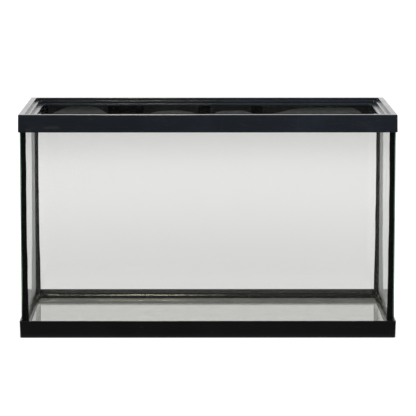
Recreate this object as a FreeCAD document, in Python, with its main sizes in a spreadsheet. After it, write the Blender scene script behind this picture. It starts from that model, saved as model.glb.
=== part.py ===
"""Framed glass aquarium tank of the 38 litre (10 US gallon) class, about 514 x 267 x 307 mm.

Five panes of float glass are bonded into a box with black silicone.  A moulded plastic
frame caps the rim and a second one carries the base, each glued on with a bead of
silicone in its channel.  Origin: centre of the base, on the table.  +X is the tank's
right, +Y its back, +Z up.  Millimetres.
"""
import FreeCAD, Part
import os

import Sketcher

DOCUMENT = FreeCAD.newDocument("aquarium_tank")
SHEET = DOCUMENT.addObject("Spreadsheet::Sheet", "size")

DRIVING_DIMENSIONS = {
    "tank_length": 514.4,         # across the outer faces of the top frame
    "tank_depth": 267.5,
    "tank_height": 306.6,
    "glass": 3.2,                 # thickness of every pane
    "glass_inset": 2.2,           # outer face of a frame to outer face of a pane
    "joint": 0.8,                 # silicone between two panes, or between pane and frame
    "seam": 0.35,                 # ground edge of a pane
    "frame_wall": 2.0,            # flanges, ledges and step walls of both frames
    "skirt_wall": 1.8,            # outer wall of both frames
    "rim_skirt": 24.1,            # height of the outer wall of the top frame
    "base_skirt": 23.4,           # and of the bottom frame
    "rim_flare": 0.35,            # draft of the top skirt, outwards at its lower edge
    "base_flare": 0.65,           # draft of the bottom skirt, outwards at its upper edge
    "base_tuck": 0.15,            # and inwards at the table
    "flange_width": 8.4,          # level band around the outside of either frame
    "hood_ledge": 4.9,            # upper ledge inside the rim
    "lid_ledge": 6.7,             # lower ledge inside the rim
    "rim_step": 3.85,             # drop from flange to ledge, and from ledge to ledge
    "floor_ledge": 2.6,           # shelf of the bottom frame, past its foot flange
    "shelf_height": 8.4,          # table to the underside of the floor pane
    "channel_depth": 10.0,        # inner wall of the rim's glass channel, below its flange
    "frame_corner": 3.0,          # upright outer corners of both frames
    "ledge_corner": 2.5,          # upright inner corners of the ledges
    "frame_edge": 1.2,            # rounding of the outermost level edge
    "ledge_edge": 0.5,            # rounding of the ledges and of the skirts' free edges
    "corner_bead": 4.8,           # leg of the silicone fillet in an upright corner
    "floor_bead_foot": 8.0,       # floor fillet, measured along the floor
    "floor_bead_rise": 5.6,       # and up the pane
    "bead_lip": 0.3,              # thinnest edge of a floor fillet
    "adhesive_film": 0.25,        # silicone between a pane and a skirt
    "adhesive_drop": 12.0,        # how far that silicone reaches along the pane
    "adhesive_stop": 8.0,         # each channel bead ends this far from the pane corner
}

# Lengths that several parts share, as expressions of the sheet's cells.
HALF_LENGTH = "size.tank_length / 2"
HALF_DEPTH = "size.tank_depth / 2"
PANE_OUTER = "size.glass_inset"
PANE_INNER = "(size.glass_inset + size.glass)"
FLOOR_EDGE = f"({PANE_INNER} + size.joint)"
BED = "(size.frame_wall + size.joint)"
SHELF_TOP = "size.shelf_height"
FLOOR_TOP = f"({SHELF_TOP} + size.glass)"
PANE_TOP = f"(size.tank_height - {BED})"
CHANNEL_END = "(size.tank_height - size.frame_wall - size.channel_depth)"
FIRST_STEP = "size.flange_width"
SECOND_STEP = "(size.flange_width + size.hood_ledge)"
TOP_OPENING = f"({SECOND_STEP} + size.lid_ledge)"
FLOOR_OPENING = "(size.flange_width + size.floor_ledge)"

# Each side of the tank: turn of its parts about Z, and where its outer face stands.
SIDES = {
    "front": (0, "0", f"-{HALF_DEPTH}"),
    "right": (90, HALF_LENGTH, "0"),
    "back": (180, "0", HALF_DEPTH),
    "left": (270, f"-{HALF_LENGTH}", "0"),
}
CORNERS = {
    "front_left": (-1, -1),
    "front_right": (1, -1),
    "back_left": (-1, 1),
    "back_right": (1, 1),
}
SKETCH_ORIGIN = -1
START, END = 1, 2
NEAR = 1.5                        # mm, how close an edge lies to the place it is looked for
SAME_LEVEL = 0.001                # mm, within which two heights count as one


def fill_sheet():
    """Write the driving dimensions to the spreadsheet, one aliased cell each."""
    for row, (name, millimetres) in enumerate(DRIVING_DIMENSIONS.items(), start=1):
        SHEET.set(f"A{row}", name)
        SHEET.set(f"B{row}", str(millimetres))
        SHEET.setAlias(f"B{row}", name)
    DOCUMENT.recompute()


def value(expression):
    """The present value of an expression, as a plain number of millimetres."""
    result = SHEET.evalExpression(expression)
    return getattr(result, "Value", result)


def new_body(label):
    """An empty body that will become the sub-part of that name."""
    body = DOCUMENT.addObject("PartDesign::Body", label)
    body.Label = label
    return body


def outline(body, name, plane, corners, raised="0"):
    """A closed sketch of straight lines through corners given as pairs of expressions."""
    sketch = body.newObject("Sketcher::SketchObject", name)
    support = next(item for item in body.Origin.OriginFeatures if item.Role == plane)
    sketch.AttachmentSupport = (support, [""])
    sketch.MapMode = "FlatFace"
    sketch.setExpression("AttachmentOffset.Base.z", raised)
    points = [FreeCAD.Vector(value(across), value(up), 0) for across, up in corners]
    for start, end in zip(points, points[1:] + points[:1]):
        sketch.addGeometry(Part.LineSegment(start, end), False)
    for line in range(len(points)):
        following = (line + 1) % len(points)
        sketch.addConstraint(Sketcher.Constraint("Coincident", line, END, following, START))
    for line, (across, up) in enumerate(corners):
        for direction, expression in (("DistanceX", across), ("DistanceY", up)):
            constraint = Sketcher.Constraint(
                direction, SKETCH_ORIGIN, START, line, START, value(expression))
            number = sketch.addConstraint(constraint)
            sketch.setExpression(f"Constraints[{number}]", expression)
    return sketch


def rectangle(left, right, bottom, top):
    """Corners of an upright rectangle, counter-clockwise."""
    return [(left, bottom), (right, bottom), (right, top), (left, top)]


def pad(body, sketch, length, both_ways=False):
    """Extrude a sketch by an expression, upwards or equally to both sides."""
    feature = body.newObject("PartDesign::Pad", f"{sketch.Name}_pad")
    feature.Profile = (sketch, [""])
    feature.Midplane = both_ways
    feature.setExpression("Length", length)
    return feature


def dress(body, kind, base, edges, amount, cell):
    """Round or chamfer the named edges of a feature by the size in a cell."""
    feature = body.newObject(f"PartDesign::{kind}", f"{body.Name}_{cell}")
    feature.Base = (base, edges)
    feature.setExpression(amount, f"size.{cell}")
    DOCUMENT.recompute()
    return feature


def edges_of(feature, chosen):
    """Names of the feature's edges whose middle point passes the test."""
    names = []
    for number, edge in enumerate(feature.Shape.Edges, start=1):
        middle = edge.valueAt((edge.FirstParameter + edge.LastParameter) / 2)
        if chosen(edge, middle):
            names.append(f"Edge{number}")
    return names


def stand_at(part, side):
    """Turn a part drawn for the front about Z and stand it on its own side."""
    turn, across, along = SIDES[side]
    upwards = FreeCAD.Vector(0, 0, 1)
    part.Placement = FreeCAD.Placement(FreeCAD.Vector(), FreeCAD.Rotation(upwards, turn))
    part.setExpression("Placement.Base.x", across)
    part.setExpression("Placement.Base.y", along)


def side_strip(label, side, section, length):
    """A straight bar along one side; its section is drawn inwards from the outer face."""
    body = new_body(label)
    sketch = outline(body, f"{label}_section", "YZ_Plane", section)
    bar = pad(body, sketch, length, both_ways=True)
    stand_at(body, side)
    return body, bar


# --- the two frames ---------------------------------------------------------------

def rim_section():
    """Section of the top frame: skirt, flange, two ledges, wall of the glass channel.

    Drawn inwards (first) and upwards (second), from the outer top edge.
    """
    wall = "size.frame_wall"
    step = "size.rim_step"
    return [
        ("0", "0"),
        (FIRST_STEP, "0"),
        (FIRST_STEP, f"-{step}"),
        (SECOND_STEP, f"-{step}"),
        (SECOND_STEP, f"-2 * {step}"),
        (TOP_OPENING, f"-2 * {step}"),
        (TOP_OPENING, f"-2 * {step} - {wall}"),
        (f"{SECOND_STEP} - {wall}", f"-2 * {step} - {wall}"),
        (f"{SECOND_STEP} - {wall}", f"-{step} - {wall}"),
        (FIRST_STEP, f"-{step} - {wall}"),
        (FIRST_STEP, f"-{wall} - size.channel_depth"),
        (f"{FIRST_STEP} - {wall}", f"-{wall} - size.channel_depth"),
        (f"{FIRST_STEP} - {wall}", f"-{wall}"),
        ("size.skirt_wall", f"-{wall}"),
        ("size.skirt_wall - size.rim_flare", "-size.rim_skirt"),
        ("-size.rim_flare", "-size.rim_skirt"),
    ]


def base_section():
    """Section of the bottom frame: skirt, foot flange, and a shelf for the floor pane.

    The shelf is the top of the channel's inner wall, widened towards the opening.
    """
    wall = "size.frame_wall"
    return [
        ("size.base_tuck", "0"),
        (FIRST_STEP, "0"),
        (FIRST_STEP, f"{SHELF_TOP} - {wall}"),
        (FLOOR_OPENING, f"{SHELF_TOP} - {wall}"),
        (FLOOR_OPENING, SHELF_TOP),
        (f"{FIRST_STEP} - {wall}", SHELF_TOP),
        (f"{FIRST_STEP} - {wall}", wall),
        ("size.base_tuck + size.skirt_wall", wall),
        ("size.skirt_wall - size.base_flare", "size.base_skirt"),
        ("-size.base_flare", "size.base_skirt"),
    ]


def swept_ring(label, section):
    """Sweep a frame section around the rectangle of the tank's outer faces."""
    body = new_body(label)
    path = outline(body, f"{label}_path", "XY_Plane", [
        (HALF_LENGTH, "0"),
        (HALF_LENGTH, HALF_DEPTH),
        (f"-{HALF_LENGTH}", HALF_DEPTH),
        (f"-{HALF_LENGTH}", f"-{HALF_DEPTH}"),
        (HALF_LENGTH, f"-{HALF_DEPTH}"),
    ])
    profile = outline(body, f"{label}_section", "XZ_Plane",
                      [(f"{HALF_LENGTH} - ({inwards})", up) for inwards, up in section])
    ring = body.newObject("PartDesign::AdditivePipe", f"{label}_ring")
    ring.Profile = (profile, [""])
    ring.Spine = (path, [""])
    ring.Transition = "Right corner"
    DOCUMENT.recompute()
    return body, ring


def is_upright(edge):
    """True for a corner edge that runs up and down, drafted or not."""
    rise = abs(edge.BoundBox.ZLength)
    return rise > 0 and edge.BoundBox.XLength < NEAR and edge.BoundBox.YLength < NEAR


def is_corner_at(middle, inwards):
    """True where a point lies over one of the four corners of an inset rectangle."""
    off_x = abs(abs(middle.x) - value(f"{HALF_LENGTH} - {inwards}"))
    off_y = abs(abs(middle.y) - value(f"{HALF_DEPTH} - {inwards}"))
    return off_x < NEAR and off_y < NEAR


def is_on_loop(middle, inwards, height):
    """True where a point lies on a level, inset rectangle with small rounded corners."""
    off_x = value(f"{HALF_LENGTH} - {inwards}") - abs(middle.x)
    off_y = value(f"{HALF_DEPTH} - {inwards}") - abs(middle.y)
    level = abs(middle.z - value(height)) < SAME_LEVEL
    return level and abs(min(off_x, off_y)) < NEAR


def round_upright_corners(body, ring, ledge_levels):
    """Round the outer corners, and the inner corners of the ledges."""
    outer = edges_of(ring, lambda edge, middle: is_upright(edge) and is_corner_at(middle, "0")
                     and edge.Length > value("size.base_skirt / 2"))
    rounded = dress(body, "Fillet", ring, outer, "Radius", "frame_corner")
    inner = edges_of(rounded, lambda edge, middle: is_upright(edge) and any(
        is_corner_at(middle, inwards) and abs(middle.z - value(height)) < NEAR
        for inwards, height in ledge_levels))
    return dress(body, "Fillet", rounded, inner, "Radius", "ledge_corner")


def top_frame():
    """Moulded rim with two ledges, one for a hood and one for a glass lid."""
    body, ring = swept_ring("top_frame", rim_section())
    corners = round_upright_corners(body, ring, [
        (FIRST_STEP, "-size.rim_step / 2"),
        (SECOND_STEP, "-1.5 * size.rim_step"),
        (TOP_OPENING, "-2 * size.rim_step - size.frame_wall / 2"),
    ])
    outer = edges_of(corners, lambda edge, middle: is_on_loop(middle, "0", "0"))
    crown = dress(body, "Fillet", corners, outer, "Radius", "frame_edge")
    loops = [
        (FIRST_STEP, "0"),
        (SECOND_STEP, "-size.rim_step"),
        (TOP_OPENING, "-2 * size.rim_step"),
        ("-size.rim_flare", "-size.rim_skirt"),
    ]
    ledges = edges_of(crown, lambda edge, middle: any(
        is_on_loop(middle, inwards, height) for inwards, height in loops))
    dress(body, "Fillet", crown, ledges, "Radius", "ledge_edge")
    body.setExpression("Placement.Base.z", "size.tank_height")
    return body


def bottom_frame():
    """Moulded base: the panes stand in its channel, the floor rests on its shelf."""
    body, ring = swept_ring("bottom_frame", base_section())
    corners = round_upright_corners(body, ring, [
        (FLOOR_OPENING, f"{SHELF_TOP} - size.frame_wall / 2"),
    ])
    loops = [
        ("-size.base_flare", "size.base_skirt"),
        ("size.base_tuck", "0"),
        (FLOOR_OPENING, SHELF_TOP),
    ]
    edges = edges_of(corners, lambda edge, middle: any(
        is_on_loop(middle, inwards, height) for inwards, height in loops))
    dress(body, "Fillet", corners, edges, "Radius", "ledge_edge")
    return body


# --- the five panes ---------------------------------------------------------------

def grind_edges(body, sheet_of_glass):
    """Seam every long edge of a pane, leaving the four short ones."""
    edges = edges_of(sheet_of_glass, lambda edge, middle: edge.Length > value("2 * size.glass"))
    dress(body, "Chamfer", sheet_of_glass, edges, "Size", "seam")
    return body


def wall_pane(side, length):
    """An upright pane, standing on its adhesive in the bottom frame's channel."""
    section = rectangle(PANE_OUTER, PANE_INNER, BED, PANE_TOP)
    body, bar = side_strip(f"{side}_pane", side, section, length)
    DOCUMENT.recompute()
    return grind_edges(body, bar)


def long_pane(side):
    """Front or back pane, held between the two end panes."""
    return wall_pane(side, f"size.tank_length - 2 * {FLOOR_EDGE}")


def end_pane(side):
    """Left or right pane, as deep as the whole glass box."""
    return wall_pane(side, "size.tank_depth - 2 * size.glass_inset")


def floor_pane():
    """The bottom pane, inside the four walls and clear of them by one joint."""
    body = new_body("floor_pane")
    half_x = f"({HALF_LENGTH} - {FLOOR_EDGE})"
    half_y = f"({HALF_DEPTH} - {FLOOR_EDGE})"
    corners = rectangle(f"-{half_x}", half_x, f"-{half_y}", half_y)
    sketch = outline(body, "floor_pane_outline", "XY_Plane", corners, raised=SHELF_TOP)
    plate = pad(body, sketch, "size.glass")
    DOCUMENT.recompute()
    return grind_edges(body, plate)


# --- silicone inside the tank -----------------------------------------------------

def corner_seal(corner):
    """Silicone of an upright corner: the film between two panes and a fillet inside."""
    toward_x, toward_y = CORNERS[corner]
    body = new_body(f"{corner}_corner_seal")

    def across(inwards):
        return f"{toward_x} * ({HALF_LENGTH} - {inwards})"

    def along(inwards):
        return f"{toward_y} * ({HALF_DEPTH} - {inwards})"

    film = outline(body, f"{corner}_film", "XY_Plane", [
        (across(FLOOR_EDGE), along(PANE_OUTER)),
        (across(PANE_INNER), along(PANE_OUTER)),
        (across(PANE_INNER), along(PANE_INNER)),
        (across(FLOOR_EDGE), along(PANE_INNER)),
    ], raised=BED)
    pad(body, film, f"{PANE_TOP} - {BED}")
    fillet = outline(body, f"{corner}_fillet", "XY_Plane", [
        (across(PANE_INNER), along(PANE_INNER)),
        (across(PANE_INNER), along(f"{PANE_INNER} - size.corner_bead")),
        (across(f"{PANE_INNER} - size.corner_bead"), along(PANE_INNER)),
    ], raised=FLOOR_TOP)
    pad(body, fillet, f"{CHANNEL_END} - {FLOOR_TOP}")
    return body


def floor_seal(side, wall_length, film_length, corner_seals):
    """Silicone of one floor joint: the film beside the floor pane and a mitred fillet."""
    fillet = DOCUMENT.addObject("Part::Wedge", f"{side}_floor_fillet")
    foot = "size.floor_bead_foot"
    for name, expression in {
        "Xmin": f"-{wall_length} / 2", "Xmax": f"{wall_length} / 2",
        "X2min": f"-{wall_length} / 2 + {foot}", "X2max": f"{wall_length} / 2 - {foot}",
        "Ymin": PANE_INNER, "Ymax": f"{PANE_INNER} + {foot}",
        "Zmin": FLOOR_TOP, "Zmax": f"{FLOOR_TOP} + size.floor_bead_rise",
        "Z2min": FLOOR_TOP, "Z2max": f"{FLOOR_TOP} + size.bead_lip",
    }.items():
        fillet.setExpression(name, expression)
    film = DOCUMENT.addObject("Part::Box", f"{side}_floor_film")
    for name, expression in {
        "Length": film_length, "Width": "size.joint", "Height": "size.glass",
        "Placement.Base.x": f"-{film_length} / 2", "Placement.Base.y": PANE_INNER,
        "Placement.Base.z": SHELF_TOP,
    }.items():
        film.setExpression(name, expression)
    bead = DOCUMENT.addObject("Part::Fuse", f"{side}_floor_bead")
    bead.Base = fillet
    bead.Tool = film
    stand_at(bead, side)
    seal = DOCUMENT.addObject("Part::Cut", f"{side}_floor_seal")
    seal.Label = f"{side}_floor_seal"
    seal.Base = bead
    seal.Tool = corner_seals
    return seal


def inside_seals():
    """Four upright corner seals, and four floor seals cut to fit around them."""
    uprights = [corner_seal(corner) for corner in CORNERS]
    together = DOCUMENT.addObject("Part::Compound", "upright_seals")
    together.Links = uprights
    inner_length = f"(size.tank_length - 2 * {PANE_INNER})"
    inner_depth = f"(size.tank_depth - 2 * {PANE_INNER})"
    floor_length = f"(size.tank_length - 2 * {FLOOR_EDGE})"
    floors = [
        floor_seal("front", inner_length, floor_length, together),
        floor_seal("back", inner_length, floor_length, together),
        floor_seal("left", inner_depth, inner_depth, together),
        floor_seal("right", inner_depth, inner_depth, together),
    ]
    return uprights + floors


# --- silicone in the frames' channels ---------------------------------------------

def rim_adhesive_section():
    """Channel of the top frame around a pane's upper edge: film, cap and inner leg."""
    film = f"{PANE_OUTER} - size.adhesive_film"
    cap = "size.tank_height - size.frame_wall"
    film_end = f"{cap} - size.adhesive_drop"
    return [
        (film, film_end), (PANE_OUTER, film_end), (PANE_OUTER, PANE_TOP),
        (PANE_INNER, PANE_TOP), (PANE_INNER, CHANNEL_END), (FLOOR_EDGE, CHANNEL_END),
        (FLOOR_EDGE, cap), (film, cap),
    ]


def base_adhesive_section():
    """Channel of the bottom frame around a pane's lower edge: film, bed and inner leg."""
    film = f"{PANE_OUTER} - size.adhesive_film"
    film_end = "size.frame_wall + size.adhesive_drop"
    leg_end = f"{SHELF_TOP} - size.seam"
    return [
        (film, "size.frame_wall"), (FLOOR_EDGE, "size.frame_wall"), (FLOOR_EDGE, leg_end),
        (PANE_INNER, leg_end), (PANE_INNER, BED), (PANE_OUTER, BED),
        (PANE_OUTER, film_end), (film, film_end),
    ]


def channel_adhesives():
    """Four beads in the top frame and four in the bottom frame, ending short of corners."""
    reach = {
        "front": "size.tank_length", "back": "size.tank_length",
        "left": "size.tank_depth", "right": "size.tank_depth",
    }
    beads = []
    for frame, section in (("top", rim_adhesive_section()), ("bottom", base_adhesive_section())):
        for side, outside in reach.items():
            length = f"{outside} - 2 * ({FLOOR_EDGE} + size.adhesive_stop)"
            body, _ = side_strip(f"{frame}_adhesive_{side}", side, section, length)
            beads.append(body)
    return beads


# --- checking and writing ---------------------------------------------------------

def check_document(parts):
    """Stop if any object failed to compute or any sub-part has no valid shape."""
    for item in DOCUMENT.Objects:
        if "Invalid" in item.State or "Error" in item.State:
            raise RuntimeError(f"{item.Name} failed: {item.State}")
    for part in parts:
        if part.Shape.isNull() or not part.Shape.isValid():
            raise RuntimeError(f"{part.Label} has no valid shape")
        if len(part.Shape.Solids) != 1:
            raise RuntimeError(f"{part.Label} has {len(part.Shape.Solids)} solids")


def write_parts(parts):
    """Write each sub-part to its own STEP file, named after its label."""
    os.makedirs("parts", exist_ok=True)
    for part in parts:
        part.Shape.exportStep(f"parts/{part.Label}.step")


def main():
    """Build every sub-part, check them all, then write them."""
    fill_sheet()
    parts = [top_frame(), bottom_frame(), floor_pane()]
    parts += [long_pane("front"), long_pane("back"), end_pane("left"), end_pane("right")]
    parts += inside_seals()
    parts += channel_adhesives()
    DOCUMENT.recompute()
    check_document(parts)
    write_parts(parts)


main()
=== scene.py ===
"""Looks of the framed glass aquarium tank: float glass, moulded frames, hand-run silicone.

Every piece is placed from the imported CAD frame.  Metres; +X is the tank's right, +Y its
back and +Z up.  The CAD frames and panes stay; silicone and adhesive are modelled here.
"""

import math
import random

import bmesh
import bpy
from mathutils import Euler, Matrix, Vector, noise


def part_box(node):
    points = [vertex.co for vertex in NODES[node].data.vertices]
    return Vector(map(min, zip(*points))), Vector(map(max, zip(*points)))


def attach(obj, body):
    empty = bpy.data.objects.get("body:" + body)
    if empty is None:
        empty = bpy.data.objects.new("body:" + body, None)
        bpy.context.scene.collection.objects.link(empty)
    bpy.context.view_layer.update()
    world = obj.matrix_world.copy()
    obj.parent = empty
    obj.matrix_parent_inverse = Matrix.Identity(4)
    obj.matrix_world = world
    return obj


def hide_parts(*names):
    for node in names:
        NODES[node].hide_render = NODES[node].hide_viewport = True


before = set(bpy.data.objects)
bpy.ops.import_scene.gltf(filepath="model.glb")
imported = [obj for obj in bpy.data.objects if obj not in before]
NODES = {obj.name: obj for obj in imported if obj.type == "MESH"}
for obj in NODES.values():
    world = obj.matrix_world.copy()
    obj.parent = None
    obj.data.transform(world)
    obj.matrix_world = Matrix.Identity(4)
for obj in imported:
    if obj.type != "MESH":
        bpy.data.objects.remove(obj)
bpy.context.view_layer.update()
MM = 0.001

# --- places read from the CAD frame -------------------------------------------------

ENDS = ("left", "right")
SIDES = ("front", "back", "left", "right")
CORNERS = [(along, across) for along in ("front", "back") for across in ENDS]
OUTWARDS = {"front": -1, "back": 1, "left": -1, "right": 1}

RIM_LOW, RIM_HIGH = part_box("top_frame")
BASE_LOW, BASE_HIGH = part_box("bottom_frame")
FLOOR_LOW, FLOOR_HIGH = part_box("floor_pane")
FRONT_LOW, FRONT_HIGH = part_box("front_pane")
GLASS = FLOOR_HIGH.z - FLOOR_LOW.z
PANE_FACE = {                       # distance of a pane's outer face from the tank's middle
    "front": -FRONT_LOW.y,
    "back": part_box("back_pane")[1].y,
    "left": -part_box("left_pane")[0].x,
    "right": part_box("right_pane")[1].x,
}
JOINT = PANE_FACE["right"] - GLASS - FRONT_HIGH.x
FLOOR_TOP = FLOOR_HIGH.z
BEAD_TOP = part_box("top_adhesive_front")[0].z
CHANNEL_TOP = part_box("top_adhesive_front")[1].z
SKIRT_EDGE = RIM_LOW.z
CONTACT = 0.05 * MM                 # how far silicone is set into the glass it wets
SKIN, WETTED, PRESSED, LIFTED = range(4)     # material slots of a silicone piece


# --- node and mesh helpers ----------------------------------------------------------

class Graph:
    """Adds and links the nodes of one material or world."""

    def __init__(self, owner):
        owner.use_nodes = True
        self.tree = owner.node_tree
        self.tree.nodes.clear()

    def node(self, kind, values=None, **settings):
        """A new node; values go to its inputs, by name or number."""
        made = self.tree.nodes.new(kind)
        for name, setting in settings.items():
            setattr(made, name, setting)
        for key, value in (values or {}).items():
            socket = made.inputs[key]
            if isinstance(value, bpy.types.NodeSocket):
                self.tree.links.new(value, socket)
            else:
                socket.default_value = value
        return made

    def maths(self, operation, first, second=0.0, clamp=False):
        """Result of one sum on two numbers."""
        made = self.node("ShaderNodeMath", {0: first, 1: second},
                         operation=operation, use_clamp=clamp)
        return made.outputs[0]

    def fade(self, value, start, end, low=0.0, high=1.0):
        """Value carried smoothly from start..end to low..high, and held beyond."""
        made = self.node("ShaderNodeMapRange", {0: value, 1: start, 2: end, 3: low, 4: high},
                         interpolation_type="SMOOTHSTEP")
        return made.outputs[0]

    def blend(self, share, first, second):
        """Colour between two colours."""
        made = self.node("ShaderNodeMix", {0: share, 6: first, 7: second}, data_type="RGBA")
        return made.outputs[2]

    def place(self, stretch=(1, 1, 1), turn=(0, 0, 0)):
        """Object position in metres, stretched and turned for a texture."""
        here = self.node("ShaderNodeTexCoord").outputs["Object"]
        made = self.node("ShaderNodeMapping", {"Vector": here, "Scale": stretch, "Rotation": turn})
        return made.outputs[0]

    def noise(self, where, scale, detail=3.0, roughness=0.55, distortion=0.0):
        """Soft noise, about 0.5 on average."""
        made = self.node("ShaderNodeTexNoise", {
            "Vector": where, "Scale": scale, "Detail": detail,
            "Roughness": roughness, "Distortion": distortion})
        return made.outputs[0]

    def axes(self):
        """The object position as three numbers."""
        made = self.node("ShaderNodeSeparateXYZ", {0: self.place()})
        return made.outputs

    def bump(self, height, distance, strength=1.0, normal=None):
        """Normal tilted by a height field; distance is its depth in metres."""
        values = {"Height": height, "Distance": distance, "Strength": strength}
        if normal is not None:
            values["Normal"] = normal
        return self.node("ShaderNodeBump", values).outputs[0]

    def mix(self, share, first, second):
        """Shader between two shaders."""
        return self.node("ShaderNodeMixShader", {0: share, 1: first, 2: second}).outputs[0]

    def finish(self, surface, volume=None, kind="ShaderNodeOutputMaterial"):
        """Link the result to the output node."""
        values = {"Surface": surface}
        if volume is not None:
            values["Volume"] = volume
        self.node(kind, values)


def colour(red, green, blue):
    """An opaque colour in linear light."""
    return (red, green, blue, 1.0)


def new_material(name):
    """A material and the graph that draws it."""
    material = bpy.data.materials.new(name)
    return material, Graph(material)


def wobble(seed, along, wavelength):
    """Smooth wander between about -1 and 1; the same for the same seed and place."""
    return 1.6 * noise.noise(Vector((along / wavelength, 13.7 * seed, 0.37 * seed)))


def steps(start, end, pitch):
    """Evenly spaced values from start to end, both included, about a pitch apart."""
    count = max(2, round((end - start) / pitch))
    return [start + (end - start) * number / count for number in range(count + 1)]


def skin(name, strands, facings, materials):
    """Closed mesh of strands, each a run of rings; facings gives some strips a material."""
    form = bmesh.new()
    for rings in strands:
        rows = [[form.verts.new(point) for point in ring] for ring in rings]
        size = len(rings[0])
        for near, far in zip(rows, rows[1:]):
            for number in range(size):
                following = (number + 1) % size
                face = form.faces.new((near[number], near[following], far[following], far[number]))
                face.material_index = facings.get(number, SKIN)
                face.smooth = True
        form.faces.new(rows[0])
        form.faces.new(rows[-1])
    bmesh.ops.recalc_face_normals(form, faces=form.faces)
    mesh = bpy.data.meshes.new(name)
    form.to_mesh(mesh)
    form.free()
    mesh.set_sharp_from_angle(angle=math.radians(50))
    piece = bpy.data.objects.new(name, mesh)
    bpy.context.scene.collection.objects.link(piece)
    for material in materials:
        mesh.materials.append(material)
    return piece


def hand_over(piece, node):
    """Let the piece stand for a CAD node."""
    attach(piece, "root")
    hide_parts(node)


def dress_node(name, material):
    """Give a carried-over CAD node its material."""
    mesh = NODES[name].data
    mesh.materials.clear()
    mesh.materials.append(material)


# --- materials ----------------------------------------------------------------------

def worn_edges(graph, radius):
    """1 on outside edges and 0 on flats, from how far a rounded normal leans."""
    rounded = graph.node("ShaderNodeBevel", {"Radius": radius}, samples=4).outputs[0]
    flat = graph.node("ShaderNodeNewGeometry").outputs["Normal"]
    lean = graph.node("ShaderNodeVectorMath", {0: rounded, 1: flat}, operation="DOT_PRODUCT")
    return graph.fade(lean.outputs["Value"], 0.995, 0.90)


def scratches(graph, turn, scale, threshold):
    """Thin broken lines in one direction, 1 on a scratch."""
    where = graph.place(stretch=(1, 1, 26), turn=turn)
    field = graph.noise(where, scale, detail=1.0, roughness=0.4)
    gate = graph.noise(graph.place(), 38, detail=2.0)
    line = graph.fade(field, threshold, threshold + 0.05)
    return graph.maths("MULTIPLY", line, graph.fade(gate, 0.52, 0.62))


def spot(graph, centre, radius, ragged):
    """1 around a place on the object, fading to 0 with a ragged border."""
    offset = graph.node("ShaderNodeVectorMath", {0: graph.place(), 1: centre}, operation="SUBTRACT")
    scaled = graph.node("ShaderNodeVectorMath", {0: offset.outputs[0], 1: radius},
                        operation="DIVIDE")
    away = graph.node("ShaderNodeVectorMath", {0: scaled.outputs[0]}, operation="LENGTH")
    rough_away = graph.maths("ADD", away.outputs["Value"], graph.fade(ragged, 0.3, 0.7, -0.6, 0.6))
    return graph.fade(rough_away, 1.0, 0.3)


def moulded_plastic(name, dark, light, smudge, smudge_share, marks=()):
    """Semi-gloss black moulding: flow mottling, wipe marks, scratches, polished edges, and a
    painted reflection that lightens it towards the right end.
    """
    material, g = new_material(name)
    clouds = g.noise(g.place(), 16, detail=4.0, distortion=0.6)
    wiping = g.noise(g.place(stretch=(5, 5, 120)), 6, detail=4.0, roughness=0.65)
    # painted reflection: the tone moves towards the lighter colour from the left end to the right
    painted_sheen_rightwards = g.fade(g.axes()[0], -0.16, 0.16, 0.0, 0.34)
    tone = g.maths("ADD", g.fade(clouds, 0.35, 0.68, 0, 0.4), g.fade(wiping, 0.35, 0.7, 0, 0.26))
    base = g.blend(g.maths("ADD", tone, painted_sheen_rightwards), dark, light)
    hands = g.noise(g.place(stretch=(1, 1, 2.2)), 24, detail=5.0, roughness=0.7)
    stain = g.fade(hands, 0.58, 0.74, 0, smudge_share)
    for centre, radius, share in marks:
        mark = g.maths("MULTIPLY", spot(g, centre, radius, hands), share)
        stain = g.maths("MAXIMUM", stain, mark)
    base = g.blend(stain, base, smudge)
    fine = g.maths("MAXIMUM", scratches(g, (0.3, 1.2, 0.2), 90, 0.66),
                   scratches(g, (0.1, 1.75, 0.4), 120, 0.67))
    edges = worn_edges(g, 0.7 * MM)
    wear = g.maths("MULTIPLY", edges, g.fade(clouds, 0.3, 0.7, 0.02, 0.2))
    base = g.blend(g.maths("MAXIMUM", wear, g.maths("MULTIPLY", fine, 0.3)), base, smudge)
    rough = g.maths("ADD", g.fade(hands, 0.3, 0.75, 0.13, 0.20), g.maths("MULTIPLY", fine, 0.10))
    grain = g.noise(g.place(), 1500, detail=2.0)
    sinks = g.noise(g.place(), 30, detail=1.0)
    normal = g.bump(sinks, 0.008 * MM)
    normal = g.bump(grain, 0.0005 * MM, 1.0, normal)
    normal = g.bump(fine, -0.003 * MM, 1.0, normal)
    surface = g.node("ShaderNodeBsdfPrincipled", {
        "Base Color": base, "Roughness": rough, "IOR": 1.5, "Normal": normal})
    g.finish(surface.outputs[0])
    return material


HAZE_INSIDE = 0.005                 # share of light scattered by the inner faces, seen squarely
HAZE_OUTSIDE = 0.002                # and by the others
HAZE_SLANT = 2.20                   # how fast the haze thickens towards a grazing view
HAZE_LEAST_SLANT = 0.14             # cosine of the view beyond which it thickens no more
WATER_LINE = (0.268, 0.276)         # heights between which the haze ends


def inner_faces(graph):
    """1 on pane faces that look into the tank, 0 on the others and on the edges."""
    here = graph.axes()
    wall_x = PANE_FACE["right"] - GLASS / 2
    wall_y = PANE_FACE["back"] - GLASS / 2
    within_x = graph.maths("LESS_THAN", graph.maths("ABSOLUTE", here[0]), wall_x)
    within_y = graph.maths("LESS_THAN", graph.maths("ABSOLUTE", here[1]), wall_y)
    above = graph.maths("GREATER_THAN", here[2], FLOOR_TOP - GLASS / 2)
    return graph.maths("MULTIPLY", above, graph.maths("MULTIPLY", within_x, within_y))


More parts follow.
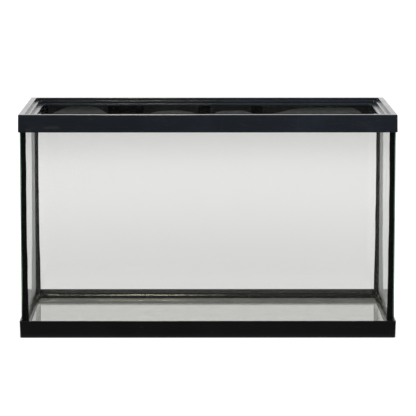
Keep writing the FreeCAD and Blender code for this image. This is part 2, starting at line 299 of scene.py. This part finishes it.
def float_glass():
    """Clear float glass: green in depth, hazed by dried water where seen at a low angle."""
    material, g = new_material("float_glass")
    wiping = g.noise(g.place(stretch=(1, 1, 0.12)), 30, detail=4.0, roughness=0.6, distortion=0.4)
    share = g.fade(inner_faces(g), 0.0, 1.0, HAZE_OUTSIDE, HAZE_INSIDE)
    share = g.maths("MULTIPLY", share, g.fade(wiping, 0.3, 0.7, 0.85, 1.2))
    share = g.maths("MULTIPLY", share, g.fade(g.axes()[2], *WATER_LINE, 1.0, 0.08))
    bare = g.node("ShaderNodeNewGeometry").outputs
    facing = g.node("ShaderNodeVectorMath", {0: bare["Normal"], 1: bare["Incoming"]},
                    operation="DOT_PRODUCT")
    slant = g.maths("MAXIMUM", g.maths("ABSOLUTE", facing.outputs["Value"]),
                    HAZE_LEAST_SLANT)
    depth = g.maths("DIVIDE", share, g.maths("POWER", slant, HAZE_SLANT))
    clear = g.maths("EXPONENT", g.maths("MULTIPLY", depth, -1.0))
    haze = g.maths("SUBTRACT", 1.0, clear, clamp=True)
    glass = g.node("ShaderNodeBsdfGlass", {
        "Color": colour(0.992, 0.985, 0.986), "Roughness": 0.0, "IOR": 1.52}).outputs[0]
    dried = colour(0.91, 0.90, 0.91)
    dust = g.node("ShaderNodeBsdfDiffuse", {"Color": dried}).outputs[0]
    bloom = g.node("ShaderNodeBsdfTranslucent", {"Color": dried}).outputs[0]
    pane = g.mix(haze, glass, g.mix(0.5, dust, bloom))
    path = g.node("ShaderNodeLightPath").outputs
    indirect = g.maths("MAXIMUM", path["Is Shadow Ray"], path["Is Diffuse Ray"])
    through = g.node("ShaderNodeBsdfTransparent", {"Color": colour(0.94, 0.95, 0.94)}).outputs[0]
    green = g.node("ShaderNodeVolumeAbsorption", {
        "Color": colour(0.27, 0.66, 0.50), "Density": 14.0}).outputs[0]
    g.finish(g.mix(indirect, pane, through), green)
    return material


WELL_TOOLED = (0.14, 0.20)          # metres from the middle over which the skin turns gritty


def silicone(name, tone, dusty, roughness, lumps):
    """Black silicone with a tooled skin, fine pits, a little dust, and grit near the ends."""
    material, g = new_material(name)
    cloud = g.noise(g.place(), 70, detail=5.0, roughness=0.65)
    grit = g.noise(g.place(), 240, detail=3.0)
    pits = g.node("ShaderNodeTexVoronoi", {"Vector": g.place(), "Scale": 420.0}).outputs["Distance"]
    ends = g.fade(g.maths("ABSOLUTE", g.axes()[0]), *WELL_TOOLED, 0.12, 1.0)
    base = g.blend(g.fade(cloud, 0.42, 0.75, 0, 0.7), tone, dusty)
    normal = g.bump(cloud, lumps)
    normal = g.bump(grit, 0.30 * MM, ends, normal)
    normal = g.bump(g.fade(pits, 0.0, 0.22), 0.02 * MM, 0.5, normal)
    surface = g.node("ShaderNodeBsdfPrincipled", {
        "Base Color": base, "Roughness": g.fade(cloud, 0.35, 0.7, roughness, roughness + 0.12),
        "IOR": 1.41, "Normal": normal})
    g.finish(surface.outputs[0])
    return material


def wet_contact(name, tone, pale, painted_underlight_heights=None):
    """Silicone that wets the glass, so it hardly shines; a height range, if given, paints in light
    that comes from below, pale at its first height.
    """
    material, g = new_material(name)
    cloud = g.noise(g.place(), 160, detail=4.0, roughness=0.6)
    share = g.fade(cloud, 0.4, 0.8)
    if painted_underlight_heights is not None:
        # painted light: a pale share of 0.85 at the range's first height, fading to none at its
        # second, for light that comes in from below
        painted_underlight_share = g.fade(g.axes()[2], *painted_underlight_heights, 0.85, 0.0)
        share = g.maths("ADD", g.maths("MULTIPLY", share, 0.25), painted_underlight_share)
    base = g.blend(share, tone, pale)
    surface = g.node("ShaderNodeBsdfPrincipled", {
        "Base Color": base, "Roughness": g.fade(cloud, 0.3, 0.7, 0.55, 0.75),
        "Specular IOR Level": 0.03, "IOR": 1.41})
    g.finish(surface.outputs[0])
    return material


# --- silicone inside the tank -------------------------------------------------------

BEAD_STEPS = 7                      # flats across the rounded face of a bead


def bead_face(reach_a, reach_b, lip, bulge=0.0):
    """Face of a bead from (reach_a, lip) round to (lip, reach_b): hollow at 0, full at 1."""
    points = []
    for number in range(BEAD_STEPS + 1):
        turn = math.pi / 2 * number / BEAD_STEPS
        hollow_a = (1 - math.sin(turn)) ** 0.92
        hollow_b = (1 - math.cos(turn)) ** 0.92
        share_a = hollow_a + bulge * (math.cos(turn) - hollow_a)
        share_b = hollow_b + bulge * (math.sin(turn) - hollow_b)
        points.append((max(reach_a * share_a, lip), max(reach_b * share_b, lip)))
    return points


CORNER_LEG_X, CORNER_LEG_Y = 5.0, 4.9        # mm, legs of a corner bead above its spread
SPREAD = 1.9                        # mm, how much wider its legs are at the floor
SPREAD_HEIGHT = 0.16                # below this, a corner bead widens towards the floor
CORNER_ON_GLASS = (0, 1, 2, 3, 7, 8)         # strips of a corner bead that lie on glass


def corner_bead(along, across, materials):
    """Upright seal: the film between two panes, its squeeze-out and the fillet inside."""
    seed = 3 + CORNERS.index((along, across))
    inner_x = PANE_FACE[across] - GLASS
    inner_y = PANE_FACE[along] - GLASS
    bottom, top = (corner.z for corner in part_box(f"{along}_{across}_corner_seal"))

    def section(height):
        """Ring of points, each (in from the end pane, in from the long pane), in metres."""
        inside = FLOOR_TOP - CONTACT < height < BEAD_TOP
        spread = SPREAD * max(0.0, 1 - (height - FLOOR_TOP) / SPREAD_HEIGHT) ** 1.5
        leg_x = (CORNER_LEG_X + spread + 0.25 * wobble(seed, height, 0.03)) * MM
        leg_y = (CORNER_LEG_Y + spread + 0.3 * wobble(seed + 9, height, 0.04)) * MM
        if not inside:
            leg_x = 2 * CONTACT + JOINT
            leg_y = 2 * CONTACT
        smear_in = (1.0 + 0.5 * wobble(seed + 5, height, 0.05)) * MM
        smear_out = (1.8 + 0.35 * wobble(seed + 7, height, 0.06)) * MM
        proud = 0.12 * MM
        low = -GLASS
        ring = [
            (leg_x, -CONTACT), (JOINT + CONTACT, -CONTACT), (JOINT + CONTACT, low + 3 * CONTACT),
            (JOINT + smear_in, low + CONTACT), (JOINT + smear_in * 0.8, low - 0.6 * proud),
            (JOINT / 2, low - proud), (-smear_out * 0.8, low - 0.6 * proud),
            (-smear_out, low + CONTACT), (-CONTACT, low + 3 * CONTACT), (-CONTACT, leg_y),
        ]
        face = bead_face(leg_x, leg_y, CONTACT)
        return ring + face[::-1]

    def ring_at(height):
        ring = []
        for in_x, in_y in section(height):
            x = OUTWARDS[across] * (inner_x - in_x)
            y = OUTWARDS[along] * (inner_y - in_y)
            ring.append(Vector((x, y, height)))
        return ring

    levels = [bottom, FLOOR_TOP - 2 * CONTACT]
    levels += steps(FLOOR_TOP, BEAD_TOP - CONTACT, 2 * MM)
    levels += [BEAD_TOP + CONTACT, top]
    piece = skin(f"corner_bead_{along}_{across}", [[ring_at(z) for z in levels]],
                 {number: WETTED for number in CORNER_ON_GLASS}, materials)
    hand_over(piece, f"{along}_{across}_corner_seal")


def on_side(side, run, inwards, height):
    """Point at a run along one side, inwards of that pane's outer face."""
    away = OUTWARDS[side] * (PANE_FACE[side] - inwards)
    if side in ENDS:
        return Vector((away, run, height))
    return Vector((run, away, height))


FLOOR_BEADS = {                     # foot and rise in mm, how full and how ragged the face is
    "front": (6.6, 5.6, 0.3, 1.0),
    "back": (5.2, 5.6, 0.9, 0.2),
    "left": (6.2, 9.4, 0.05, 1.2),
    "right": (5.6, 8.2, 0.1, 1.0),
}


def floor_bead(side, lumps, materials):
    """Floor seal: the film beside the floor pane and a ragged fillet over it."""
    seed = 21 + SIDES.index(side)
    low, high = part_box(f"{side}_floor_seal")
    reach = (high - low).y / 2 if side in ENDS else (high - low).x / 2
    bottom = FLOOR_LOW.z
    usual_foot, usual_rise, bulge, unrest = FLOOR_BEADS[side]

    def section(run):
        """Ring of points, each (inwards, height)."""
        ragged = 0.5 * wobble(seed, run, 0.035) + 0.25 * wobble(seed + 1, run, 0.006)
        uneven = 0.4 * wobble(seed + 2, run, 0.05) + 0.15 * wobble(seed + 3, run, 0.009)
        foot = (usual_foot + unrest * ragged) * MM
        rise = (usual_rise + unrest * uneven) * MM
        for place, width, height in lumps:
            lump = height * math.exp(-((run - place) / width) ** 2)
            foot += lump
            rise += lump
        lip = (0.28 + 0.1 * wobble(seed + 4, run, 0.01)) * MM
        belly = 0.12 * wobble(seed + 6, run, 0.03) + 0.05 * wobble(seed + 8, run, 0.005)
        ring = [
            (-CONTACT, bottom), (JOINT + CONTACT, bottom),
            (JOINT + CONTACT, FLOOR_TOP - CONTACT), (foot, FLOOR_TOP - CONTACT),
        ]
        face = bead_face(foot, rise, lip, bulge)
        for number, (inwards, up) in enumerate(face):
            swell = unrest * belly * MM * math.sin(math.pi * number / (len(face) - 1))
            ring.append((inwards + swell, FLOOR_TOP + up + swell))
        ring.append((-CONTACT, FLOOR_TOP + rise))
        return ring

    rings = [[on_side(side, run, GLASS + inwards, up) for inwards, up in section(run)]
             for run in steps(-reach, reach, 1.5 * MM)]
    last = len(rings[0]) - 1
    on_glass = {number: WETTED for number in (0, 1, 2, last)}
    piece = skin(f"floor_bead_{side}", [rings], on_glass, materials)
    hand_over(piece, f"{side}_floor_seal")


# --- adhesive in the frames' channels -----------------------------------------------

BACK_PADS = ((-242, -228), (-143, -89), (-11, 8), (66, 84))   # mm along X
BACK_ARCHES = (                     # start, end, rise, lean towards the end, flatness of the top
    (-226, -146, 1.0, 1.1, 2.4),
    (-84, -14, 0.38, 0.9, 2.4),
    (10, 66, 0.36, 0.9, 3.5),
    (86, 226, 0.76, 1.8, 5.0),
)


def random_pads(side, half):
    """Pads and arches along a side that the eye seldom sees, the same each run."""
    dice = random.Random(f"{side} rim adhesive")
    pads, arches = [], []
    run = -half + dice.uniform(4, 12)
    while run < half - 20:
        width = dice.uniform(9, 34)
        pads.append((run, run + width))
        gap = dice.uniform(45, 110)
        arches.append((run + width, min(run + width + gap, half), dice.uniform(0.25, 1.2),
                       dice.uniform(0.7, 1.6), 2.4))
        run += width + gap
    return pads, arches


STANDING_OFF = 8                    # strip of the film that stands off the glass, in an arch
PANE_STRIPS = {0: WETTED, 1: WETTED, 2: WETTED}      # strips of a channel bead on its pane


def arch_height(run, arches):
    """How far the film's lower edge rises at a run, as a share of the visible drop."""
    for start, end, rise, lean, flatness in arches:
        if start < run < end:
            share = ((run - start) / (end - start)) ** lean
            return min(1.0, rise * (1 - abs(2 * share - 1) ** flatness))
    return 0.0


def rim_adhesive(side, materials):
    """Bead in the rim's channel, with the film that crept down between skirt and pane."""
    low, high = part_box(f"top_adhesive_{side}")
    half = (high - low).y / 2 if side in ENDS else (high - low).x / 2
    pads, arches = (BACK_PADS, BACK_ARCHES) if side == "back" else random_pads(side, half / MM)
    seed = 41 + SIDES.index(side)
    gap = 0.55 * MM
    edge = SKIRT_EDGE + 0.5 * MM
    drop = CHANNEL_TOP - 0.6 * MM - edge

    def ring_at(run):
        rise = arch_height(run / MM, arches) * (BEAD_TOP + 2.5 * MM - edge)
        rise += 0.35 * MM * wobble(seed, run, 0.006)
        film_end = edge + min(max(rise, 0.1 * MM), drop)
        cap = CHANNEL_TOP
        leg = BEAD_TOP + 3 * MM
        pane_top = FRONT_HIGH.z
        ring = [
            (CONTACT, film_end), (CONTACT, pane_top), (GLASS - CONTACT, pane_top),
            (GLASS - CONTACT, leg), (GLASS + JOINT, leg), (GLASS + JOINT, cap), (-gap, cap),
            (-gap, edge), (-gap / 2, edge), (-gap / 2, film_end - 0.05 * MM),
        ]
        return [on_side(side, run, inwards, up) for inwards, up in ring]

    def lip_at(run):
        """The part that oozed out below the skirt and was wiped off there."""
        hang = SKIRT_EDGE - (0.72 + 0.2 * wobble(seed + 1, run, 0.02)
                             + 0.12 * wobble(seed + 2, run, 0.004)) * MM
        above = edge - 0.1 * MM
        ring = [
            (CONTACT, above), (CONTACT, hang), (-0.5 * MM, hang - 0.12 * MM),
            (-1.1 * MM, hang + 0.25 * MM), (-1.2 * MM, SKIRT_EDGE - 0.1 * MM),
            (-gap, SKIRT_EDGE - 0.06 * MM), (-gap, above),
        ]
        return [on_side(side, run, inwards, up) for inwards, up in ring]

    runs = steps(-half, half, 1.0 * MM)
    strands = [[ring_at(run) for run in runs]]
    if side == "back":
        strands.append([lip_at(run) for run in runs])
    facings = {**PANE_STRIPS, STANDING_OFF: LIFTED}
    piece = skin(f"rim_adhesive_{side}", strands, facings, materials)
    darken_pads(piece, side, pads)
    hand_over(piece, f"top_adhesive_{side}")


def darken_pads(piece, side, pads):
    """Where the bead was pressed hard against the pane, its contact face is blackest."""
    axis = 1 if side in ENDS else 0
    for face in piece.data.polygons:
        run = face.center[axis] / MM
        lean = 0.35 * (face.center.z - SKIRT_EDGE) / MM
        pressed = any(start - lean / 2 < run < end - lean for start, end in pads)
        if face.material_index == WETTED and pressed:
            face.material_index = PRESSED


def base_adhesive(side, materials):
    """Bead that beds a pane in the bottom frame, with a little film up its face."""
    low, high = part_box(f"bottom_adhesive_{side}")
    half = (high - low).y / 2 if side in ENDS else (high - low).x / 2
    seed = 61 + SIDES.index(side)
    bed = FRONT_LOW.z

    def ring_at(run):
        film_end = high.z - (1.5 - 1.5 * wobble(seed, run, 0.02)) * MM
        leg_end = FLOOR_LOW.z - 0.6 * MM
        ring = [
            (CONTACT, film_end), (CONTACT, bed), (GLASS - CONTACT, bed),
            (GLASS - CONTACT, leg_end), (GLASS + JOINT, leg_end - 0.3 * MM),
            (GLASS + JOINT, low.z), (-0.25 * MM, low.z), (-0.25 * MM, film_end - 0.2 * MM),
        ]
        return [on_side(side, run, inwards, up) for inwards, up in ring]

    runs = steps(-half, half, 3 * MM)
    piece = skin(f"base_adhesive_{side}", [[ring_at(run) for run in runs]],
                 PANE_STRIPS, materials)
    hand_over(piece, f"bottom_adhesive_{side}")


# --- stage, light and camera --------------------------------------------------------

NEAR_AND_MIDDLE = (0.86, 1.00)      # brightness of the sweep by the tank, and 1.6 m away
FAR_SHARE = 0.80                    # of that, at 2.7 m and beyond
# painted shadow: the sweep's brightness under the tank, as a share
UNDER_SHARE = 0.62                  # of that, under the tank
DARK_FRONT = 0.035                  # of that, on the front as shiny surfaces see it
SOFT_FRONT = 0.36                   # and as matt surfaces gather it
BACK_LIGHT = 1.00
SIDE_LIGHT = 0.25
SOFT_SIDE_LIGHT = 1.25
SEEN_LIGHT = 0.86                   # beyond the sweep, as seen through the panes
CEILING_LIGHT = 0.50
PAPER = colour(1.0, 0.995, 0.985)
UNDER_X = (0.240, 0.250)            # the shade under the tank ends between these, either way
UNDER_Y = (0.116, 0.126)
SWEEP_REACH = 6.0


def shadowed_front(graph, direction_x, direction_y, path):
    """1 for light the studio's dark front sends: all but what is seen through the glass aside."""
    forwards = graph.maths("MULTIPLY", direction_y, -1.0)
    sideways = graph.maths("DIVIDE", graph.maths("ABSOLUTE", direction_x),
                           graph.maths("MAXIMUM", forwards, 0.01))
    ahead = graph.fade(sideways, 0.35, 0.5, 1.0, 0.0)
    not_through = graph.maths("SUBTRACT", 1.0, path["Is Transmission Ray"])
    return graph.maths("MAXIMUM", ahead, not_through)


def matt_light(graph, path):
    """1 for light gathered by matt surfaces, 0 for what shiny or clear ones show."""
    sharp = graph.maths("MAXIMUM", path["Is Glossy Ray"], path["Is Transmission Ray"])
    not_matt = graph.maths("SUBTRACT", 1.0, path["Is Diffuse Ray"])
    return graph.maths("SUBTRACT", 1.0, graph.maths("MULTIPLY", sharp, not_matt))


def studio_floor():
    """A pale sweep: bright behind and beside the tank, unlit in front of it, with a painted shadow
    under the tank.
    """
    form = bmesh.new()
    turns = ((-1, -1), (1, -1), (1, 1), (-1, 1))
    corners = [(SWEEP_REACH * x, SWEEP_REACH * y) for x, y in turns]
    form.faces.new([form.verts.new((x, y, BASE_LOW.z - 0.2 * MM)) for x, y in corners])
    mesh = bpy.data.meshes.new("studio_floor")
    form.to_mesh(mesh)
    form.free()
    table = bpy.data.objects.new("studio_floor", mesh)
    bpy.context.scene.collection.objects.link(table)

    material, g = new_material("pale_sweep")
    path = g.node("ShaderNodeLightPath").outputs
    here = g.axes()
    away = g.node("ShaderNodeVectorMath", {0: g.place()}, operation="LENGTH").outputs["Value"]
    level = g.maths("MULTIPLY", g.fade(away, 0.3, 1.6, *NEAR_AND_MIDDLE),
                    g.fade(away, 1.75, 2.7, 1.0, FAR_SHARE))
    # painted shadow under the tank, for all but camera rays
    under_x = g.fade(g.maths("ABSOLUTE", here[0]), *UNDER_X, 1.0, 0.0)
    under_y = g.fade(g.maths("ABSOLUTE", here[1]), *UNDER_Y, 1.0, 0.0)
    painted_shadow_under_tank = g.maths("MULTIPLY", under_x, under_y)
    level = g.maths("MULTIPLY", level, g.fade(painted_shadow_under_tank, 0.0, 1.0, 1.0, UNDER_SHARE))
    viewer = g.node("ShaderNodeSeparateXYZ", {
        0: g.node("ShaderNodeNewGeometry").outputs["Incoming"]}).outputs
    leaving_x = g.maths("MULTIPLY", viewer[0], -1.0)
    leaving_y = g.maths("MULTIPLY", viewer[1], -1.0)
    ahead = g.fade(here[1], RIM_LOW.y + 0.02, RIM_LOW.y - 0.02)
    dim = g.maths("MULTIPLY", ahead, shadowed_front(g, leaving_x, leaving_y, path))
    front = g.fade(matt_light(g, path), 0.0, 1.0, DARK_FRONT, SOFT_FRONT)
    dimmed = g.node("ShaderNodeMix", {0: dim, 2: 1.0, 3: front}).outputs[0]
    level = g.maths("MULTIPLY", level, dimmed)
    unseen = g.node("ShaderNodeEmission", {"Color": PAPER, "Strength": level})
    paper = g.node("ShaderNodeBsdfDiffuse", {"Color": colour(0.8, 0.8, 0.8)}).outputs[0]
    glow = g.node("ShaderNodeEmission", {"Strength": 0.75}).outputs[0]
    lit = g.node("ShaderNodeAddShader", {0: paper, 1: glow}).outputs[0]
    g.finish(g.mix(path["Is Camera Ray"], unseen.outputs[0], lit))
    mesh.materials.append(material)


def studio_world():
    """White behind and beside the tank, dark behind the camera, a grey ceiling."""
    world = bpy.data.worlds.new("studio")
    bpy.context.scene.world = world
    g = Graph(world)
    where = g.node("ShaderNodeTexCoord").outputs["Generated"]
    axes = g.node("ShaderNodeSeparateXYZ", {0: where}).outputs
    flat = g.maths("SQRT", g.maths("SUBTRACT", 1.0, g.maths("MULTIPLY", axes[2], axes[2])))
    facing = g.maths("DIVIDE", axes[1], g.maths("MAXIMUM", flat, 0.01))
    path = g.node("ShaderNodeLightPath").outputs
    front = shadowed_front(g, axes[0], axes[1], path)
    front = g.maths("MULTIPLY", front, g.fade(facing, 0.05, -0.25))
    matt = matt_light(g, path)
    side_light = g.fade(matt, 0.0, 1.0, SIDE_LIGHT, SOFT_SIDE_LIGHT)
    front_light = g.fade(matt, 0.0, 1.0, DARK_FRONT, SOFT_FRONT)
    beside = g.node("ShaderNodeMix", {0: g.fade(facing, 0.1, 0.7), 2: side_light, 3: BACK_LIGHT})
    seen = g.node("ShaderNodeMix", {
        0: path["Is Transmission Ray"], 2: beside.outputs[0], 3: SEEN_LIGHT})
    seen_front = g.node("ShaderNodeMix", {0: front, 2: seen.outputs[0], 3: front_light})
    ceiling = g.fade(axes[2], 0.25, 0.75)
    level = g.node("ShaderNodeMix", {0: ceiling, 2: seen_front.outputs[0], 3: CEILING_LIGHT})
    level = g.node("ShaderNodeMix", {0: path["Is Camera Ray"], 2: level.outputs[0], 3: 1.2})
    light = g.node("ShaderNodeBackground", {"Color": PAPER, "Strength": level.outputs[0]})
    g.finish(light.outputs[0], kind="ShaderNodeOutputWorld")


def softbox():
    """One warm box overhead, a little left of the middle."""
    lamp = bpy.data.lights.new("softbox", "AREA")
    lamp.shape = "RECTANGLE"
    lamp.size = 0.17
    lamp.size_y = 0.60
    lamp.energy = 9.0
    lamp.color = (1.0, 0.94, 0.66)
    box = bpy.data.objects.new("softbox", lamp)
    box.location = (-0.125, 0.0, RIM_HIGH.z + 1.3)
    bpy.context.scene.collection.objects.link(box)


def camera():
    """A long lens in front of the tank and a little above it, a hair off its middle."""
    distance = 3.3529
    height = 0.6284
    pitch = math.radians(7.627)
    aside = math.radians(0.158)
    lens = bpy.data.cameras.new("camera")
    lens.sensor_width = 36.0
    lens.lens = 215.29
    lens.clip_start = 0.1
    lens.clip_end = 50.0
    eye = bpy.data.objects.new("camera", lens)
    turn = Euler((0, 0, -aside)).to_matrix()
    eye.location = turn @ Vector((0.6 * MM, RIM_LOW.y - distance, height))
    eye.rotation_euler = Euler((math.pi / 2 - pitch, 0, -aside))
    bpy.context.scene.collection.objects.link(eye)
    bpy.context.scene.camera = eye


def render_settings():
    """Plain tones, and enough bounces for light that crosses many panes."""
    scene = bpy.context.scene
    scene.view_settings.view_transform = "Standard"
    scene.cycles.max_bounces = 24
    scene.cycles.transmission_bounces = 24
    scene.cycles.glossy_bounces = 12
    scene.cycles.transparent_max_bounces = 24
    scene.cycles.caustics_reflective = False
    scene.cycles.caustics_refractive = False


# --- assembly -----------------------------------------------------------------------

def paint_frames():
    """Plastic for both frames, with the rim's few smudges on its front; the rim's blue-grey tone is
    partly painted reflection and painted light.
    """
    face = RIM_LOW.y
    marks = [
        (Vector((-0.216, face, RIM_LOW.z + 0.006)), Vector((0.013, 0.004, 0.003)), 0.34),
        (Vector((-0.242, face, RIM_LOW.z + 0.004)), Vector((0.010, 0.004, 0.004)), 0.22),
        (Vector((-0.243, face, RIM_HIGH.z - 0.001)), Vector((0.0022, 0.003, 0.0014)), 1.0),
        (Vector((0.122, face, RIM_HIGH.z - 0.012)), Vector((0.0014, 0.004, 0.018)), 0.10),
    ]
    # rim tones: its own black plastic, lifted and tinted blue as painted reflection of the studio
    # front and painted light from the front and above
    rim = moulded_plastic("rim_plastic", colour(0.026, 0.031, 0.039), colour(0.043, 0.055, 0.080),
                          colour(0.120, 0.106, 0.092), 0.14, marks)
    base = moulded_plastic("base_plastic", colour(0.013, 0.013, 0.0145),
                           colour(0.018, 0.018, 0.0195), colour(0.060, 0.056, 0.050), 0.10)
    dress_node("top_frame", rim)
    dress_node("bottom_frame", base)


def paint_panes():
    """One glass for all five panes."""
    glass = float_glass()
    for name in ("floor_pane",) + tuple(f"{side}_pane" for side in SIDES):
        dress_node(name, glass)


def build_silicone():
    """The eight seals inside the tank; lumps are (place, width, height) along a side."""
    black = colour(0.008, 0.008, 0.008)
    skin_material = silicone("silicone", black, colour(0.020, 0.020, 0.019), 0.10, 0.05 * MM)
    contact = wet_contact("silicone_on_glass", colour(0.012, 0.012, 0.012),
                          colour(0.018, 0.018, 0.017))
    for along, across in CORNERS:
        corner_bead(along, across, [skin_material, contact])
    lumps = {
        "back": [(-0.236, 0.010, 1.6 * MM), (0.19, 0.02, 0.5 * MM)],
        "left": [(0.118, 0.012, 1.2 * MM)],
    }
    for side in SIDES:
        floor_bead(side, lumps.get(side, []), [skin_material, contact])


def build_adhesive():
    """The eight beads in the frames' channels, which show through the glass."""
    bulk = silicone("frame_adhesive", colour(0.008, 0.008, 0.008), colour(0.02, 0.02, 0.019),
                    0.35, 0.1 * MM)
    film = wet_contact("adhesive_film", colour(0.036, 0.036, 0.035), colour(0.045, 0.045, 0.044))
    pad = wet_contact("adhesive_pad", colour(0.009, 0.009, 0.009), colour(0.012, 0.012, 0.012))
    # film that stands off the pane, with painted light from under the skirt, palest at the skirt's
    # lower edge
    lifted = wet_contact("lifted_film_painted_underlight", colour(0.070, 0.071, 0.074), colour(0.28, 0.28, 0.28),
                         (SKIRT_EDGE, SKIRT_EDGE + 12 * MM))
    for side in SIDES:
        rim_adhesive(side, [bulk, film, pad, lifted])
        base_adhesive(side, [bulk, film])


paint_frames()
paint_panes()
build_silicone()
build_adhesive()
studio_floor()
studio_world()
softbox()
camera()
render_settings()
